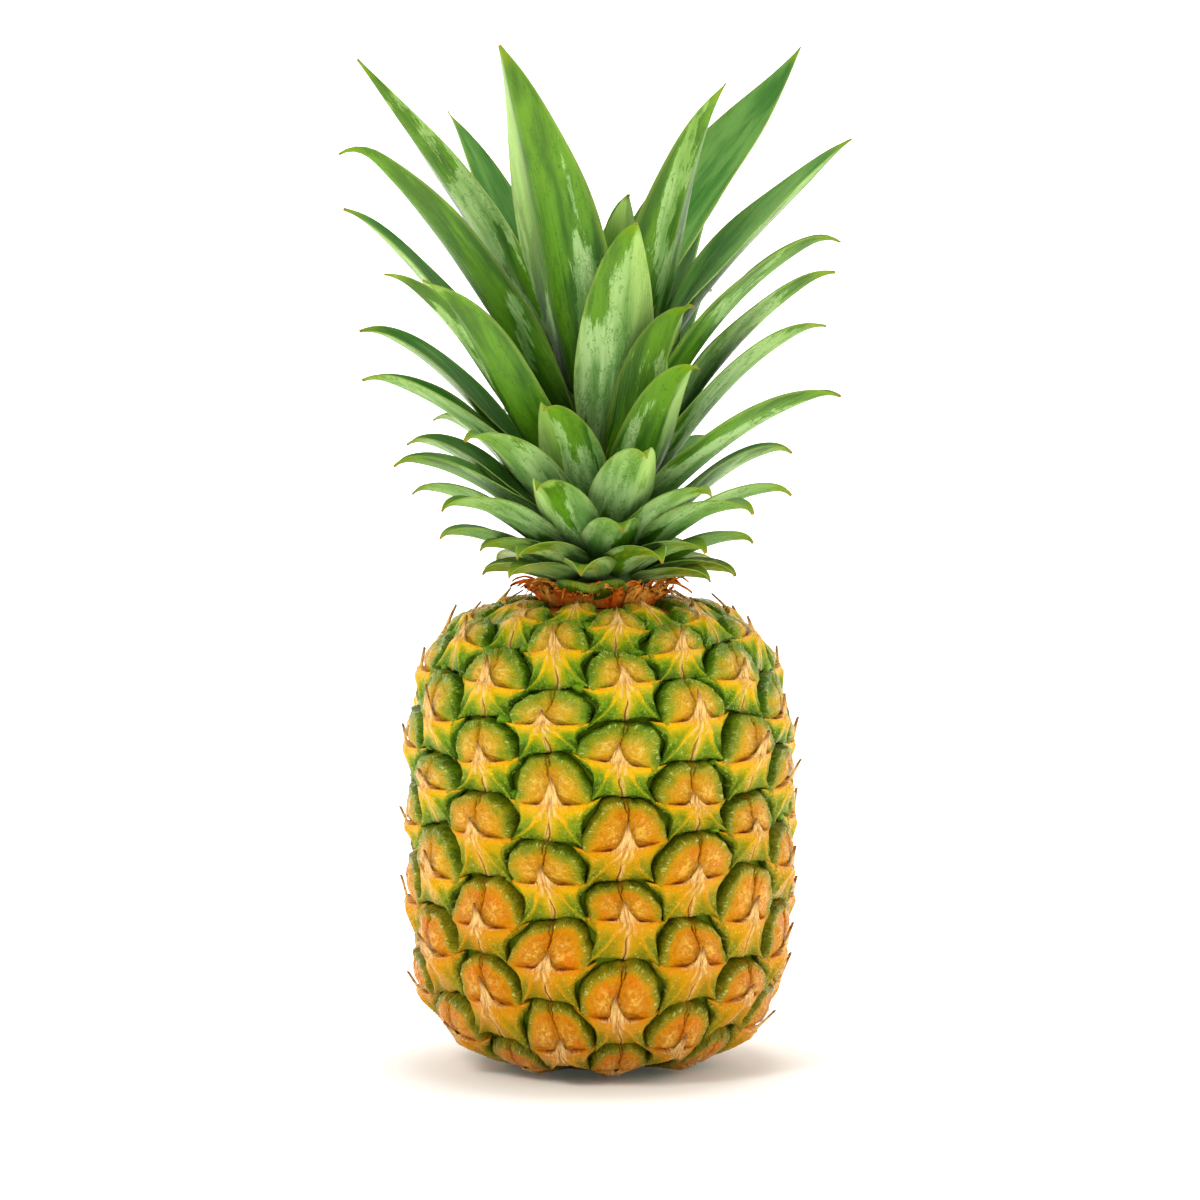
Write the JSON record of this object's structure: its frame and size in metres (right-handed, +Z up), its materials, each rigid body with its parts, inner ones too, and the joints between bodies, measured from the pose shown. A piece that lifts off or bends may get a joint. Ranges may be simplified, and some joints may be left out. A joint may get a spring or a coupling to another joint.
{
  "type": "pineapple",
  "caption": "Whole ripe pineapple standing on its base, with domed eyes under spiky bracts, a collar of dried bracts and a tall leafy crown.",
  "frame": {"origin": "centre of the flat stalk scar that the fruit stands on", "axes": "+Z up along the axis of the fruit towards the crown, -Y towards the front"},
  "size_m": [0.1568, 0.1241, 0.3174],
  "materials": {
    "rind": "waxy golden rind with green borders",
    "dry_bract": "dry and fibrous",
    "stem_leaf": "waxy green",
    "leaf": "pale wax bloom over green"
  },
  "bodies": {
    "root": {"crown_stem": "stem_leaf", "dry_bract_collar": "dry_bract", "fruit": "rind", "leaf_back_01": "leaf", "leaf_back_02": "leaf", "leaf_back_03": "leaf", "leaf_back_04": "leaf", "leaf_back_05": "leaf", "leaf_back_06": "leaf", "leaf_back_07": "leaf", "leaf_back_08": "leaf", "leaf_back_09": "leaf", "leaf_back_10": "leaf", "leaf_back_11": "leaf", "leaf_front_01": "leaf", "leaf_front_02": "leaf", "leaf_front_03": "leaf", "leaf_front_04": "leaf", "leaf_front_05": "leaf", "leaf_front_06": "leaf", "leaf_front_07": "leaf", "leaf_left_01": "leaf", "leaf_left_02": "leaf", "leaf_left_03": "leaf", "leaf_left_04": "leaf", "leaf_left_05": "leaf", "leaf_left_06": "leaf", "leaf_left_07": "leaf", "leaf_left_08": "leaf", "leaf_left_09": "leaf", "leaf_left_10": "leaf", "leaf_left_11": "leaf", "leaf_left_12": "leaf", "leaf_left_13": "leaf", "leaf_left_14": "leaf", "leaf_left_15": "leaf", "leaf_left_16": "leaf", "leaf_right_01": "leaf", "leaf_right_02": "leaf", "leaf_right_03": "leaf", "leaf_right_04": "leaf", "leaf_right_05": "leaf", "leaf_right_06": "leaf", "leaf_right_07": "leaf", "leaf_right_08": "leaf", "leaf_right_09": "leaf", "leaf_right_10": "leaf", "leaf_right_11": "leaf"}
  },
  "joints": []
}
